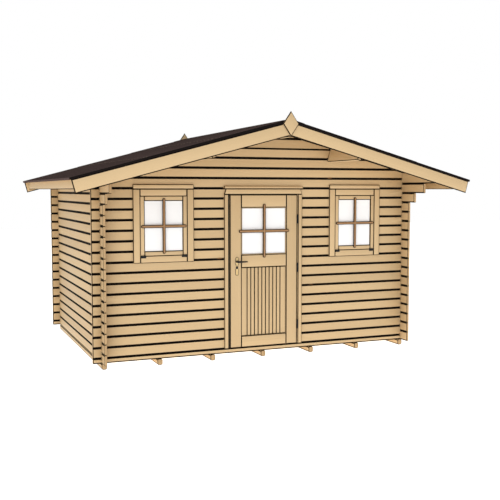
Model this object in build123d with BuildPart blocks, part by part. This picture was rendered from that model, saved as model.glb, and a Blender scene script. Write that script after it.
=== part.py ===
from build123d import *
import math
import os

# Wooden garden house with interlocking wall logs, in millimetres.
# X runs along the front, Y from the front to the back, Z is up.
# The origin is on the ground under the middle of the roof.

# Wall logs and the plan of the house
log_height = 114.0
log_thickness = 28.0
log_chamfer = 7.0
front_stub = 95.0
side_stub = 150.0
house_width = 3780.0
house_depth = 2760.0
side_log_count = 18
front_row_count = 22
corbel_short = 268.0
corbel_long = 464.0

# Ground frame and floor
bearer_height = 70.0
bearer_width = 58.0
bearer_bevel = 12.0
bearer_count = 7
floor_thickness = 19.0

# Roof
roof_pitch = 15.0
ridge_underside = 2650.0
front_overhang = 720.0
rear_overhang = 170.0
sheathing_thickness = 19.0
sheathing_reach = 2319.0
felt_thickness = 4.0
barge_reach = 2310.0
barge_depth = 140.0
barge_thickness = 20.0
fascia_reach = 2250.0
fascia_thickness = 18.0
fascia_bottom = 1940.0
purlin_width = 45.0
purlin_depth = 158.0
purlin_along_slope = 898.0
ridge_purlin_width = 58.0
ridge_purlin_bottom = 2492.0
finial_width = 185.0
finial_height = 270.0
finial_centre = 2629.0
finial_thickness = 20.0

# Door frame
door_opening_half = 450.0
door_last_row = 16
jamb_inner = 425.0
frame_depth = 45.0
head_bottom = 1881.0
casing_thickness = 20.0
door_casing_inner = 436.0
door_casing_outer = 486.0
door_cap_bottom = 1945.0
door_cap_height = 30.0
door_cap_half = 490.0
door_cap_depth = 36.0
door_cap_bevel = 12.0
head_casing_slant = 18.0

# Door leaf
leaf_half = 418.0
leaf_bottom = 132.0
leaf_top = 1876.0
leaf_thickness = 40.0
leaf_proud = 22.0
stile_width = 137.0
bottom_rail_top = 260.0
mid_rail_bottom = 1048.0
mid_rail_top = 1193.0
top_rail_bottom = 1733.0
panel_grooves = 10
panel_groove_step = 46.0
panel_groove_depth = 6.0
panel_thickness = 16.0
panel_recess = 12.0
glass_thickness = 4.0
glass_recess = 16.0
bar_width = 36.0
bar_thickness = 12.0
bar_end_bevel = 0.28
door_bar_half = 314.0
door_bar_bottom = 1156.0
door_bar_top = 1774.0

# Door hinges and lock
pin_x = 427.5
pin_proud = 26.0
knuckle_radius = 8.8
pin_radius = 4.0
pin_clearance = 0.08
knuckle_gap = 1.0
hinge_length = 106.0
hinge_centres = (360.0, 1028.0, 1596.0)
hinge_arm = 3.0
frame_arm_seat = 2.5
handle_x = -336.0
handle_z = 1119.0
plate_width = 40.0
plate_bottom = 960.0
plate_top = 1172.0
plate_thickness = 4.0
plate_waist = 26.0
handle_field = 98.0
lock_field = 86.0
keyhole_drop = 68.0
keyhole_height = 20.0
keyhole_width = 7.0
spindle_radius = 8.0
spindle_clearance = 1.0
lever_reach = 38.0
lever_length = 113.0
lever_thickness = 12.0
lever_hub_radius = 12.0
lever_end_radius = 7.0

# Windows
window_centre = 1190.0
window_first_row = 10
window_last_row = 16
window_opening_half = 320.0
window_casing_half = 345.0
window_casing_board = 80.0
window_casing_bottom = 1138.0
window_casing_top = 1993.0
window_top_board = 51.0
window_filler = 78.0
filler_recess = 4.0
sash_half = 263.0
sash_bottom = 1218.0
sash_top = 1862.0
sash_member = 50.0
sash_thickness = 34.0
sash_recess = 3.0
sash_gap = 2.0
pane_recess = 14.0
window_bar_half = 257.0
window_bar_width = 34.0
window_bar_bottom = 1235.0
window_bar_top = 1844.0
window_bar_centre = 1536.0

# Places worked out from the driving dimensions
pitch = math.radians(roof_pitch)
fall = math.tan(pitch)
roof_depth = front_overhang + house_depth + rear_overhang
roof_front = -roof_depth / 2
roof_back = roof_depth / 2
front_face = roof_front + front_overhang
back_face = front_face + house_depth
front_inner = front_face + log_thickness
back_inner = back_face - log_thickness
half_width = house_width / 2
half_inner = half_width - log_thickness
half_log = log_height / 2
quarter_log = log_height / 4
wall_bottom = bearer_height
barge_front = roof_front + barge_thickness
barge_back = roof_back - barge_thickness
sheathing_along = sheathing_reach / math.cos(pitch)
barge_along = barge_reach / math.cos(pitch)
crossings_x = (-half_width + log_thickness / 2, half_width - log_thickness / 2)
crossings_y = (front_face + log_thickness / 2, back_face - log_thickness / 2)
sill_top = wall_bottom + half_log
leaf_front = front_face - leaf_proud
leaf_back = leaf_front + leaf_thickness
pin_y = front_face - pin_proud

os.makedirs("parts", exist_ok=True)


def save(part, name):
    part.label = name
    export_step(part, f"parts/{name}.step")


def front_view(y):
    """A plane at y whose sketch reads as the front view: X to the right, Z up, extruding forwards."""
    return Plane(origin=(0, y, 0), x_dir=(1, 0, 0), z_dir=(0, -1, 0))


def front_plate(points, y_low, y_high):
    """A plate with its outline given in the front view."""
    with BuildPart() as plate:
        with BuildSketch(front_view(y_high)):
            with BuildLine():
                Polyline(*points, close=True)
            make_face()
        extrude(amount=y_high - y_low)
    return plate.part


def roof_point(along, out, side):
    """A point of the front view, along the slope from the ridge and out from the boards' underside."""
    x = along * math.cos(pitch) + out * math.sin(pitch)
    z = ridge_underside - along * math.sin(pitch) + out * math.cos(pitch)
    return (side * x, z)


def slope_plate(side, along_low, along_high, out_low, out_high, y_low, y_high):
    corners = [
        roof_point(along_low, out_low, side),
        roof_point(along_high, out_low, side),
        roof_point(along_high, out_high, side),
        roof_point(along_low, out_high, side),
    ]
    return front_plate(corners, y_low, y_high)


def block(x_range, y_range, z_range, mode=Mode.ADD):
    """A board with its faces at the given places."""
    sizes = [high - low for low, high in (x_range, y_range, z_range)]
    middle = [(high + low) / 2 for low, high in (x_range, y_range, z_range)]
    with Locations(tuple(middle)):
        Box(*sizes, mode=mode)


def mirrored(side, near, far):
    """The X range of a board that lies from near to far on the given side."""
    return tuple(sorted((side * near, side * far)))


# Everything below the roof boards, which cuts the gable logs and the top side logs to the slope
under_roof = front_plate(
    [
        (0, ridge_underside),
        roof_point(sheathing_along, 0, 1),
        (sheathing_reach, 0),
        (-sheathing_reach, 0),
        roof_point(sheathing_along, 0, -1),
    ],
    roof_front,
    roof_back,
)


# Ground frame: bearers that run from front to back, with bevelled lower edges
bearer_step = (house_width - bearer_width) / (bearer_count - 1)
with BuildPart() as floor_bearers:
    with BuildSketch(front_view(back_face)) as bearer_ends:
        with Locations((0, bearer_height / 2)):
            with GridLocations(bearer_step, 0, bearer_count, 1):
                Rectangle(bearer_width, bearer_height)
        chamfer(bearer_ends.vertices().group_by(Axis.Z)[0], bearer_bevel)
    extrude(amount=house_depth)
save(floor_bearers.part, "floor_bearers")

# Floor deck, fitted between the walls
with BuildPart() as floor_deck:
    block(
        (-half_inner, half_inner),
        (front_inner, back_inner),
        (wall_bottom, wall_bottom + floor_thickness),
    )
save(floor_deck.part, "floor_deck")

# Purlins: the ridge purlin stands upright, the two others stand square to the slope
ridge_half = ridge_purlin_width / 2
ridge_purlin = front_plate(
    [
        (-ridge_half, ridge_purlin_bottom),
        (ridge_half, ridge_purlin_bottom),
        (ridge_half, ridge_underside - ridge_half * fall),
        (0, ridge_underside),
        (-ridge_half, ridge_underside - ridge_half * fall),
    ],
    barge_front,
    barge_back,
)
save(ridge_purlin, "ridge_purlin")

purlins = [ridge_purlin]
for side, name in ((-1, "left_purlin"), (1, "right_purlin")):
    purlin_end = purlin_along_slope + purlin_width
    purlin = slope_plate(
        side, purlin_along_slope, purlin_end, -purlin_depth, 0, barge_front, barge_back
    )
    save(purlin, name)
    purlins.append(purlin)


# Wall logs: each has chamfered long edges and, where walls cross, a quarter-height notch
# above and below, so that the logs of the two walls lock into each other
def log_bar(section, length, middle, bottom, top):
    with BuildPart() as bar:
        with BuildSketch(section) as profile:
            with Locations((middle, (bottom + top) / 2)):
                Rectangle(log_thickness, top - bottom)
            chamfer(profile.vertices(), log_chamfer)
        extrude(amount=length)
    return bar.part


def cut_notches(bar, places, heights):
    with BuildPart() as log:
        add(bar)
        for x, y in places:
            for low, high in heights:
                with Locations((x, y, (low + high) / 2)):
                    Box(log_thickness, log_thickness, high - low, mode=Mode.SUBTRACT)
    return log.part


def side_log(number, side):
    """A log of a side wall, counted from 1 at the floor. The top ones reach out under the roof."""
    bottom = wall_bottom + (number - 1) * log_height
    top = bottom + log_height
    is_plate = number == side_log_count
    reach = {side_log_count - 2: corbel_short, side_log_count - 1: corbel_long}
    start = barge_front if is_plate else front_face - reach.get(number, side_stub)
    end = barge_back if is_plate else back_face + side_stub
    if is_plate:
        top = ridge_underside
    middle = side * (half_width - log_thickness / 2)
    section = Plane(origin=(0, start, 0), x_dir=(-1, 0, 0), z_dir=(0, 1, 0))
    log = log_bar(section, end - start, -middle, bottom, top)
    if is_plate:
        log = log & under_roof
    heights = ((bottom, bottom + quarter_log), (bottom + 3 * quarter_log, top))
    return cut_notches(log, [(middle, y) for y in crossings_y], heights)


for side, name in ((-1, "left"), (1, "right")):
    for first, order in ((1, "odd"), (2, "even")):
        logs = [side_log(n, side) for n in range(first, side_log_count + 1, 2)]
        save(Compound(children=logs), f"{name}_wall_{order}_logs")

door_gap = (-door_opening_half, door_opening_half)
window_gaps = [
    (centre - window_opening_half, centre + window_opening_half)
    for centre in (-window_centre, window_centre)
]


def row_bottom(row):
    """Front and back walls begin with a half log, so they stand half a log off the side walls."""
    return wall_bottom if row == 0 else sill_top + (row - 1) * log_height


def row_top(row):
    return ridge_underside if row == front_row_count else sill_top + row * log_height


def row_gaps(row):
    gaps = [door_gap] if 1 <= row <= door_last_row else []
    if window_first_row <= row <= window_last_row:
        gaps += window_gaps
    return gaps


def row_spans(gaps):
    """The stretches of a row that its openings leave."""
    edges = [-half_width - front_stub]
    for low, high in sorted(gaps):
        edges += [low, high]
    edges.append(half_width + front_stub)
    return zip(edges[::2], edges[1::2])


def row_logs(row, face, gaps):
    bottom = row_bottom(row)
    top = row_top(row)
    middle = face + log_thickness / 2
    heights = [(bottom, bottom + quarter_log)] if row > 0 else []
    if row < side_log_count:
        heights.append((top - quarter_log, top))
    pieces = []
    for start, end in row_spans(gaps):
        section = Plane(origin=(start, 0, 0), x_dir=(0, 1, 0), z_dir=(1, 0, 0))
        log = log_bar(section, end - start, middle, bottom, top)
        places = [(x, middle) for x in crossings_x if start < x < end]
        if places and row <= side_log_count:
            log = cut_notches(log, places, heights)
        if row >= side_log_count:
            log = log & under_roof
            for purlin in purlins:
                log = log - purlin
        pieces += log.solids()
    return pieces


for name, face in (("front", front_face), ("back", back_inner)):
    for first, order in ((0, "even"), (1, "odd")):
        logs = []
        for row in range(first, front_row_count + 1, 2):
            gaps = row_gaps(row) if name == "front" else []
            logs += row_logs(row, face, gaps)
        save(Compound(children=logs), f"{name}_wall_{order}_logs")

# Roof boards, felt, bargeboards and eave fascias, one of each for a slope
felt_along = sheathing_along + felt_thickness
felt_out = sheathing_thickness + felt_thickness
for side, name in ((-1, "left"), (1, "right")):
    boards = front_plate(
        [
            (0, ridge_underside),
            roof_point(sheathing_along, 0, side),
            roof_point(sheathing_along, sheathing_thickness, side),
            (0, ridge_underside + sheathing_thickness / math.cos(pitch)),
        ],
        roof_front + felt_thickness,
        roof_back - felt_thickness,
    )
    save(boards, f"{name}_roof_boards")

    cover = front_plate(
        [
            (0, ridge_underside),
            roof_point(felt_along, 0, side),
            roof_point(felt_along, felt_out, side),
            (0, ridge_underside + felt_out / math.cos(pitch)),
        ],
        roof_front,
        roof_back,
    )
    with BuildPart() as felt:
        add(cover)
        add(boards, mode=Mode.SUBTRACT)
    save(felt.part, f"{name}_roof_felt")

    for y_low, where in ((roof_front, "front"), (barge_back, "rear")):
        barge = front_plate(
            [
                (0, ridge_underside),
                roof_point(barge_along, 0, side),
                roof_point(barge_along, -barge_depth, side),
                (0, ridge_underside - barge_depth / math.cos(pitch)),
            ],
            y_low,
            y_low + barge_thickness,
        )
        save(barge, f"{where}_{name}_bargeboard")

fascia_inner = fascia_reach - fascia_thickness
with BuildPart() as eave_fascias:
    for side in (-1, 1):
        fascia = front_plate(
            [
                (side * fascia_inner, fascia_bottom),
                (side * fascia_reach, fascia_bottom),
                (side * fascia_reach, ridge_underside - fascia_reach * fall),
                (side * fascia_inner, ridge_underside - fascia_inner * fall),
            ],
            barge_front,
            barge_back,
        )
        add(fascia)
save(eave_fascias.part, "eave_fascias")

# Diamond finials that cover the joint of the bargeboards
for y_low, name in ((roof_front - finial_thickness, "front"), (roof_back, "rear")):
    finial = front_plate(
        [
            (0, finial_centre + finial_height / 2),
            (finial_width / 2, finial_centre),
            (0, finial_centre - finial_height / 2),
            (-finial_width / 2, finial_centre),
        ],
        y_low,
        y_low + finial_thickness,
    )
    save(finial, f"{name}_finial")

# Door frame: jambs and head line the opening, casings cover the gap on the outside
casing_front = front_face - casing_thickness
frame_back = front_face + frame_depth
head_top = row_top(door_last_row)
with BuildPart() as door_jambs:
    for side in (-1, 1):
        block(
            mirrored(side, jamb_inner, door_opening_half),
            (front_face, frame_back),
            (sill_top, head_top),
        )
save(door_jambs.part, "door_jambs")

with BuildPart() as door_head:
    block((-jamb_inner, jamb_inner), (front_face, frame_back), (head_bottom, head_top))
save(door_head.part, "door_head")

with BuildPart() as door_casings:
    for side in (-1, 1):
        block(
            mirrored(side, door_casing_inner, door_casing_outer),
            (casing_front, front_face),
            (sill_top, head_bottom),
        )
save(door_casings.part, "door_casings")

head_casing = front_plate(
    [
        (-door_casing_outer, head_bottom),
        (door_casing_outer, head_bottom),
        (door_casing_outer - head_casing_slant, door_cap_bottom),
        (head_casing_slant - door_casing_outer, door_cap_bottom),
    ],
    casing_front,
    front_face,
)
save(head_casing, "door_head_casing")

with BuildPart() as door_cap:
    block(
        (-door_cap_half, door_cap_half),
        (front_face - door_cap_depth, front_face),
        (door_cap_bottom, door_cap_bottom + door_cap_height),
    )
    front_edges = door_cap.edges().filter_by(Axis.X).group_by(Axis.Y)[0]
    chamfer(front_edges.sort_by(Axis.Z)[-1], door_cap_bevel)
save(door_cap.part, "door_drip_cap")

# Door leaf: stiles and rails round a glazed upper field and a boarded lower one
rail_half = leaf_half - stile_width
leaf_depth = (leaf_front, leaf_back)
spindle_plane = Plane(origin=(handle_x, leaf_back, handle_z), x_dir=(1, 0, 0), z_dir=(0, -1, 0))
with BuildPart() as door_stiles:
    for side in (-1, 1):
        block(mirrored(side, rail_half, leaf_half), leaf_depth, (leaf_bottom, leaf_top))
    with BuildSketch(spindle_plane):
        Circle(spindle_radius + 2 * spindle_clearance)
    extrude(amount=leaf_thickness, mode=Mode.SUBTRACT)
save(door_stiles.part, "door_stiles")

with BuildPart() as door_rails:
    for z_range in (
        (leaf_bottom, bottom_rail_top),
        (mid_rail_bottom, mid_rail_top),
        (top_rail_bottom, leaf_top),
    ):
        block((-rail_half, rail_half), leaf_depth, z_range)
save(door_rails.part, "door_rails")

panel_front = leaf_front + panel_recess
panel_back = panel_front + panel_thickness
groove_side = panel_groove_depth * math.sqrt(2)
with BuildPart() as door_panel:
    block((-rail_half, rail_half), (panel_front, panel_back), (bottom_rail_top, mid_rail_bottom))
    with BuildSketch(Plane.XY.offset(bottom_rail_top)):
        with Locations((0, panel_front)):
            with GridLocations(panel_groove_step, 0, panel_grooves, 1):
                Rectangle(groove_side, groove_side, rotation=45)
    extrude(amount=mid_rail_bottom - bottom_rail_top, mode=Mode.SUBTRACT)
save(door_panel.part, "door_panel")

door_pane_front = leaf_front + glass_recess
with BuildPart() as door_pane:
    block(
        (-rail_half, rail_half),
        (door_pane_front, door_pane_front + glass_thickness),
        (mid_rail_top, top_rail_bottom),
    )
save(door_pane.part, "door_pane")


def bar_cross(name, centre_x, half_length, width, bottom, top, cross_z, face):
    """A cross of flat bars with bevelled ends, laid on the frame round a pane."""
    with BuildPart() as bars:
        with BuildSketch(front_view(face)) as cross:
            with Locations((centre_x, cross_z)):
                Rectangle(2 * half_length, width)
            with Locations((centre_x, (bottom + top) / 2)):
                Rectangle(width, top - bottom)
            by_x = cross.vertices().group_by(Axis.X)
            by_z = cross.vertices().group_by(Axis.Z)
            chamfer(by_x[0] + by_x[-1] + by_z[0] + by_z[-1], width * bar_end_bevel)
        extrude(amount=bar_thickness)
    save(bars.part, name)


bar_cross(
    "door_glazing_bars",
    0,
    door_bar_half,
    bar_width,
    door_bar_bottom,
    door_bar_top,
    (mid_rail_top + top_rail_bottom) / 2,
    leaf_front,
)

# Door hinges: the lower knuckle with its pin is held by the casing's edge, the upper one by
# the edge of the leaf, so only the knuckles show when the door is shut
knuckle = hinge_length / 2
pin_top_gap = 4.0
with BuildPart() as frame_hinges:
    for z in hinge_centres:
        with Locations((pin_x, pin_y, z - knuckle / 2)):
            Cylinder(knuckle_radius, knuckle)
        with Locations((pin_x, pin_y, z)):
            Cylinder(pin_radius, 2 * (knuckle - 3 * pin_top_gap))
        block(
            (pin_x, door_casing_inner),
            (casing_front + frame_arm_seat - hinge_arm, casing_front + frame_arm_seat),
            (z - knuckle, z - knuckle_gap),
        )
save(frame_hinges.part, "frame_hinge_halves")

with BuildPart() as leaf_hinges:
    for z in hinge_centres:
        low = z + knuckle_gap
        high = z + knuckle
        with Locations((pin_x, pin_y, (low + high) / 2)):
            Cylinder(knuckle_radius, high - low)
        block((leaf_half, pin_x), (leaf_front, leaf_front + hinge_arm), (low, high))
        with Locations((pin_x, pin_y, (low + high) / 2 - pin_top_gap)):
            Cylinder(pin_radius + pin_clearance, high - low, mode=Mode.SUBTRACT)
save(leaf_hinges.part, "leaf_hinge_halves")

# Lock: a waisted plate on each face, and a flat lever on each side of one spindle
with BuildPart() as lock_plates:
    for face in (leaf_front, leaf_back + plate_thickness):
        with BuildSketch(front_view(face)):
            with Locations((handle_x, plate_top - handle_field / 2)):
                SlotOverall(handle_field, plate_width, rotation=90)
            with Locations((handle_x, plate_bottom + lock_field / 2)):
                SlotOverall(lock_field, plate_width, rotation=90)
            with Locations((handle_x, (plate_bottom + plate_top) / 2)):
                Rectangle(plate_waist, (plate_top - plate_bottom) / 2)
            with Locations((handle_x, handle_z)):
                Circle(spindle_radius + spindle_clearance, mode=Mode.SUBTRACT)
            with Locations((handle_x, handle_z - keyhole_drop)):
                Rectangle(keyhole_width, keyhole_height, mode=Mode.SUBTRACT)
        extrude(amount=plate_thickness)
save(lock_plates.part, "door_lock_plates")

leaf_middle = (leaf_front + leaf_back) / 2
lever_back = leaf_thickness / 2 + plate_thickness + lever_reach
lever_front = lever_back + lever_thickness
end_distance = lever_length - lever_end_radius
with BuildPart() as door_lever:
    with Locations(Plane(origin=(handle_x, leaf_middle, handle_z), z_dir=(0, 1, 0))):
        Cylinder(spindle_radius, 2 * lever_front)
    for face in (leaf_middle - lever_back, leaf_middle + lever_front):
        with BuildSketch(front_view(face)):
            with Locations((handle_x, handle_z)):
                Circle(lever_hub_radius)
            with Locations((handle_x + end_distance, handle_z)):
                Circle(lever_end_radius)
            make_hull()
        extrude(amount=lever_thickness)
save(door_lever.part, "door_lever")

# Windows: a lining in the wall, casing boards over it, and a bottom-hung sash
lining_half = sash_half + sash_gap
lining_bottom = sash_bottom - sash_gap
lining_top = sash_top + sash_gap
wall_gap_bottom = row_bottom(window_first_row)
wall_gap_top = row_top(window_last_row)
sash_front = casing_front + sash_recess
sash_depth = (sash_front, sash_front + sash_thickness)
window_pane_front = sash_front + pane_recess
top_board_bottom = window_casing_top - window_top_board
filler_front = casing_front + filler_recess


def across(centre, half):
    return (centre - half, centre + half)


for centre, name in ((-window_centre, "left"), (window_centre, "right")):
    with BuildPart() as window_frame:
        block(
            across(centre, window_opening_half),
            (front_face, frame_back),
            (wall_gap_bottom, wall_gap_top),
        )
        block(
            across(centre, lining_half),
            (front_face, frame_back),
            (lining_bottom, lining_top),
            Mode.SUBTRACT,
        )
    save(window_frame.part, f"{name}_window_frame")

    with BuildPart() as window_casing:
        block(
            across(centre, window_casing_half),
            (casing_front, front_face),
            (top_board_bottom, window_casing_top),
        )
        for side in (-1, 1):
            middle = centre + side * (window_casing_half - window_casing_board / 2)
            block(
                across(middle, window_casing_board / 2),
                (casing_front, front_face),
                (window_casing_bottom, top_board_bottom),
            )
        for low in (window_casing_bottom, lining_top):
            block(
                across(centre, lining_half),
                (filler_front, front_face),
                (low, low + window_filler),
            )
    save(window_casing.part, f"{name}_window_casing")

    with BuildPart() as window_sash:
        block(across(centre, sash_half), sash_depth, (sash_bottom, sash_top))
        block(
            across(centre, sash_half - sash_member),
            sash_depth,
            (sash_bottom + sash_member, sash_top - sash_member),
            Mode.SUBTRACT,
        )
    save(window_sash.part, f"{name}_window_sash")

    with BuildPart() as window_pane:
        block(
            across(centre, sash_half - sash_member),
            (window_pane_front, window_pane_front + glass_thickness),
            (sash_bottom + sash_member, sash_top - sash_member),
        )
    save(window_pane.part, f"{name}_window_pane")

    bar_cross(
        f"{name}_window_bars",
        centre,
        window_bar_half,
        window_bar_width,
        window_bar_bottom,
        window_bar_top,
        window_bar_centre,
        sash_front,
    )
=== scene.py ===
import math

import bmesh
import bpy
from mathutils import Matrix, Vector


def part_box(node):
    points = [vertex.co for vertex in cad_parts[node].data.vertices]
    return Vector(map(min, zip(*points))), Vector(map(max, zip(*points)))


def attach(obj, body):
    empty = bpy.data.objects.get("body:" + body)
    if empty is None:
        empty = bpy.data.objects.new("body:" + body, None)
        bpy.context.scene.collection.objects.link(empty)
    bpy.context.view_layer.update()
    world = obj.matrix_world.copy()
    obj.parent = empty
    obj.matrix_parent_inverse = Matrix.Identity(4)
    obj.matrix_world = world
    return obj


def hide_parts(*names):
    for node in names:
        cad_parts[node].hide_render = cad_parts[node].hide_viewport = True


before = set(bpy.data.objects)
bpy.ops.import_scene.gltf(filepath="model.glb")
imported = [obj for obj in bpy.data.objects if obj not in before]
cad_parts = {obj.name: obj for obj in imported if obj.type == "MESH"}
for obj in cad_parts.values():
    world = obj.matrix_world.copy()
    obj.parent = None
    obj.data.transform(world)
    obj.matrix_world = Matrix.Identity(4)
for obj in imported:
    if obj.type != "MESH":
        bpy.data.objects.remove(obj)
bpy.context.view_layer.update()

print("garden house: frame loaded")


# Small helpers for working in object and edit mode
def deselectAll():
    bpy.ops.object.select_all(action="DESELECT")


def useOnly(thing):
    deselectAll()
    thing.select_set(True)
    bpy.context.view_layer.objects.active = thing


def applyPlace(thing):
    useOnly(thing)
    bpy.ops.object.transform_apply(location=True, rotation=True, scale=True)


def applyModifier(thing, modifier):
    useOnly(thing)
    bpy.ops.object.modifier_apply(modifier=modifier.name)


def joinAll(things, name):
    deselectAll()
    for thing in things:
        thing.select_set(True)
    bpy.context.view_layer.objects.active = things[0]
    if len(things) > 1:
        bpy.ops.object.join()
    joined = bpy.context.view_layer.objects.active
    joined.name = name
    joined.data.name = name
    return joined


def startBlock(low, high):
    # A block between two corners, with its place in its mesh
    deselectAll()
    middle = [(a + b) / 2 for a, b in zip(low, high)]
    size = [b - a for a, b in zip(low, high)]
    bpy.ops.mesh.primitive_cube_add(size=1, location=middle, scale=size)
    block = bpy.context.view_layer.objects.active
    applyPlace(block)
    return block


def startDisc(place, radius, depth, axis, sides=24):
    # A short cylinder whose axis runs along x, y or z
    deselectAll()
    turn = {"x": (0, math.pi / 2, 0), "y": (math.pi / 2, 0, 0), "z": (0, 0, 0)}[axis]
    bpy.ops.mesh.primitive_cylinder_add(
        vertices=sides, radius=radius, depth=depth, location=place, rotation=turn
    )
    disc = bpy.context.view_layer.objects.active
    applyPlace(disc)
    return disc


def selectEdges(thing, pick):
    # Leaves the piece in edit mode with only the edges that pick accepts selected
    useOnly(thing)
    bpy.ops.object.mode_set(mode="EDIT")
    bpy.ops.mesh.select_mode(type="EDGE")
    bpy.ops.mesh.select_all(action="DESELECT")
    shape = bmesh.from_edit_mesh(thing.data)
    for edge in shape.edges:
        edge.select = bool(pick(edge))
    shape.select_flush_mode()
    bmesh.update_edit_mesh(thing.data)


def bevelWhere(thing, pick, offset, segments, slot=-1, profile=0.5):
    # Bevels the edges that pick accepts, given the middle and the direction of each
    def accepts(edge):
        first, second = edge.verts[0].co, edge.verts[1].co
        return pick((first + second) / 2, (second - first).normalized())

    selectEdges(thing, accepts)
    bpy.ops.mesh.bevel(offset=offset, segments=segments, affect="EDGES", material=slot, profile=profile)
    bpy.ops.object.mode_set(mode="OBJECT")


# An eased edge is at least this many times as long as the ease is wide
shortestEased = 2.5


def easeEdges(thing, width, segments, slot, pick):
    # Bevels the outward edges that pick accepts, but none too short to hold the width
    def accepts(edge):
        return edge.is_convex and edge.calc_length() > shortestEased * width and pick(edge)

    selectEdges(thing, accepts)
    bpy.ops.mesh.bevel(offset=width, segments=segments, affect="EDGES", material=slot, clamp_overlap=False)
    bpy.ops.object.mode_set(mode="OBJECT")


def repeatAlongY(thing, count, step):
    rows = thing.modifiers.new("rows", "ARRAY")
    rows.count = count
    rows.use_relative_offset = False
    rows.use_constant_offset = True
    rows.constant_offset_displace = (0, step, 0)
    applyModifier(thing, rows)


def modifierBevel(thing, width, segments, angle, slot=-1):
    bevel = thing.modifiers.new("ease", "BEVEL")
    bevel.width = width
    bevel.segments = segments
    bevel.limit_method = "ANGLE"
    bevel.angle_limit = math.radians(angle)
    bevel.material = slot
    applyModifier(thing, bevel)


def smoothByAngle(thing, angle=30):
    useOnly(thing)
    bpy.ops.object.shade_smooth_by_angle(angle=math.radians(angle))


def mergedCopy(nodeName, name):
    # A copy of a node whose loose triangles are merged back into flat faces
    useOnly(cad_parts[nodeName])
    bpy.ops.object.duplicate()
    piece = bpy.context.view_layer.objects.active
    piece.name = name
    piece.data.name = name
    bpy.ops.object.mode_set(mode="EDIT")
    bpy.ops.mesh.select_all(action="SELECT")
    bpy.ops.mesh.remove_doubles(threshold=0.00002)
    bpy.ops.mesh.dissolve_limited(angle_limit=math.radians(0.5))
    bpy.ops.object.mode_set(mode="OBJECT")
    return piece


def settle(piece, body, slotName, *nodes):
    if nodes:
        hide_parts(*nodes)
    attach(piece, body)
    return piece


def finishPart(parts, name, finish, body, slotName, angle=35):
    # Joins small parts into one piece with one finish
    piece = joinAll(parts, name)
    piece.data.materials.append(finish)
    smoothByAngle(piece, angle)
    return settle(piece, body, slotName)


# Small helpers for shader nodes
def newGroup(name, inputs, outputs):
    group = bpy.data.node_groups.new(name, "ShaderNodeTree")
    for label, kind, value in inputs:
        socket = group.interface.new_socket(name=label, in_out="INPUT", socket_type=kind)
        if value is not None:
            socket.default_value = value
    for label, kind in outputs:
        group.interface.new_socket(name=label, in_out="OUTPUT", socket_type=kind)
    return group


def addNode(tree, kind, **values):
    node = tree.nodes.new(kind)
    for key, value in values.items():
        setattr(node, key, value)
    return node


def mathNode(tree, operation, first, second=None, clamp=False):
    node = addNode(tree, "ShaderNodeMath", operation=operation, use_clamp=clamp)
    for index, value in enumerate((first, second)):
        if value is None:
            continue
        if isinstance(value, (int, float)):
            node.inputs[index].default_value = value
        else:
            tree.links.new(value, node.inputs[index])
    return node.outputs[0]


def vectorNode(tree, operation, first, second):
    node = addNode(tree, "ShaderNodeVectorMath", operation=operation)
    for index, value in enumerate((first, second)):
        if isinstance(value, tuple):
            node.inputs[index].default_value = value
        else:
            tree.links.new(value, node.inputs[index])
    return node


def mixColours(tree, factor, first, second):
    node = addNode(tree, "ShaderNodeMix", data_type="RGBA")
    for socket, value in ((node.inputs[0], factor), (node.inputs[6], first), (node.inputs[7], second)):
        if isinstance(value, (int, float, tuple)):
            socket.default_value = value
        else:
            tree.links.new(value, socket)
    return node.outputs[2]


def rangeNode(tree, value, fromLow, fromHigh, toLow=0.0, toHigh=1.0):
    node = addNode(tree, "ShaderNodeMapRange", interpolation_type="SMOOTHSTEP")
    tree.links.new(value, node.inputs[0])
    for index, number in zip((1, 2, 3, 4), (fromLow, fromHigh, toLow, toHigh)):
        node.inputs[index].default_value = number
    return node.outputs[0]


def noiseNode(tree, vector, stretch, detail):
    scaled = addNode(tree, "ShaderNodeMapping")
    scaled.inputs["Scale"].default_value = stretch
    tree.links.new(vector, scaled.inputs["Vector"])
    noise = addNode(tree, "ShaderNodeTexNoise")
    noise.inputs["Scale"].default_value = 1.0
    noise.inputs["Detail"].default_value = detail
    tree.links.new(scaled.outputs["Vector"], noise.inputs["Vector"])
    return noise.outputs["Fac"]


def newMaterial(name):
    material = bpy.data.materials.new(name)
    material.use_nodes = True
    tree = material.node_tree
    return material, tree, tree.nodes["Principled BSDF"]


def linkBump(tree, shader, height, strength, distance):
    bump = addNode(tree, "ShaderNodeBump")
    bump.inputs["Strength"].default_value = strength
    bump.inputs["Distance"].default_value = distance
    tree.links.new(height, bump.inputs["Height"])
    tree.links.new(bump.outputs["Normal"], shader.inputs["Normal"])


# Planed softwood. X runs along the grain, and growth rings lie round a pith that each board
# has in another place, so faces show long lines and ends show arcs of the same rings.
pineSettings = {
    "ringsPerMetre": 130.0,
    "pithSpread": 0.11,
    "pithDrop": 0.075,
    "wander": 0.034,
    "wanderStretch": (0.9, 6.0, 6.0),
    "spacing": 0.030,
    "spacingStretch": (0.5, 24.0, 24.0),
    "fibreStretch": (14.0, 620.0, 620.0),
    "cloudStretch": (0.7, 5.0, 5.0),
    "ringShare": 0.36,
    "fibreShare": 0.30,
    "cloudShare": 0.48,
    "ringHeight": 0.20,
    "roughness": (0.50, 0.68),
    "shift": (31.0, 17.0, 23.0),
    "knotStretch": (2.6, 7.0, 7.0),
    "knotSize": (0.055, 0.10),
    "knotShare": 0.80,
    "knotDepth": 0.55,
    "knotColour": (0.30, 0.155, 0.065, 1),
}


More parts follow.
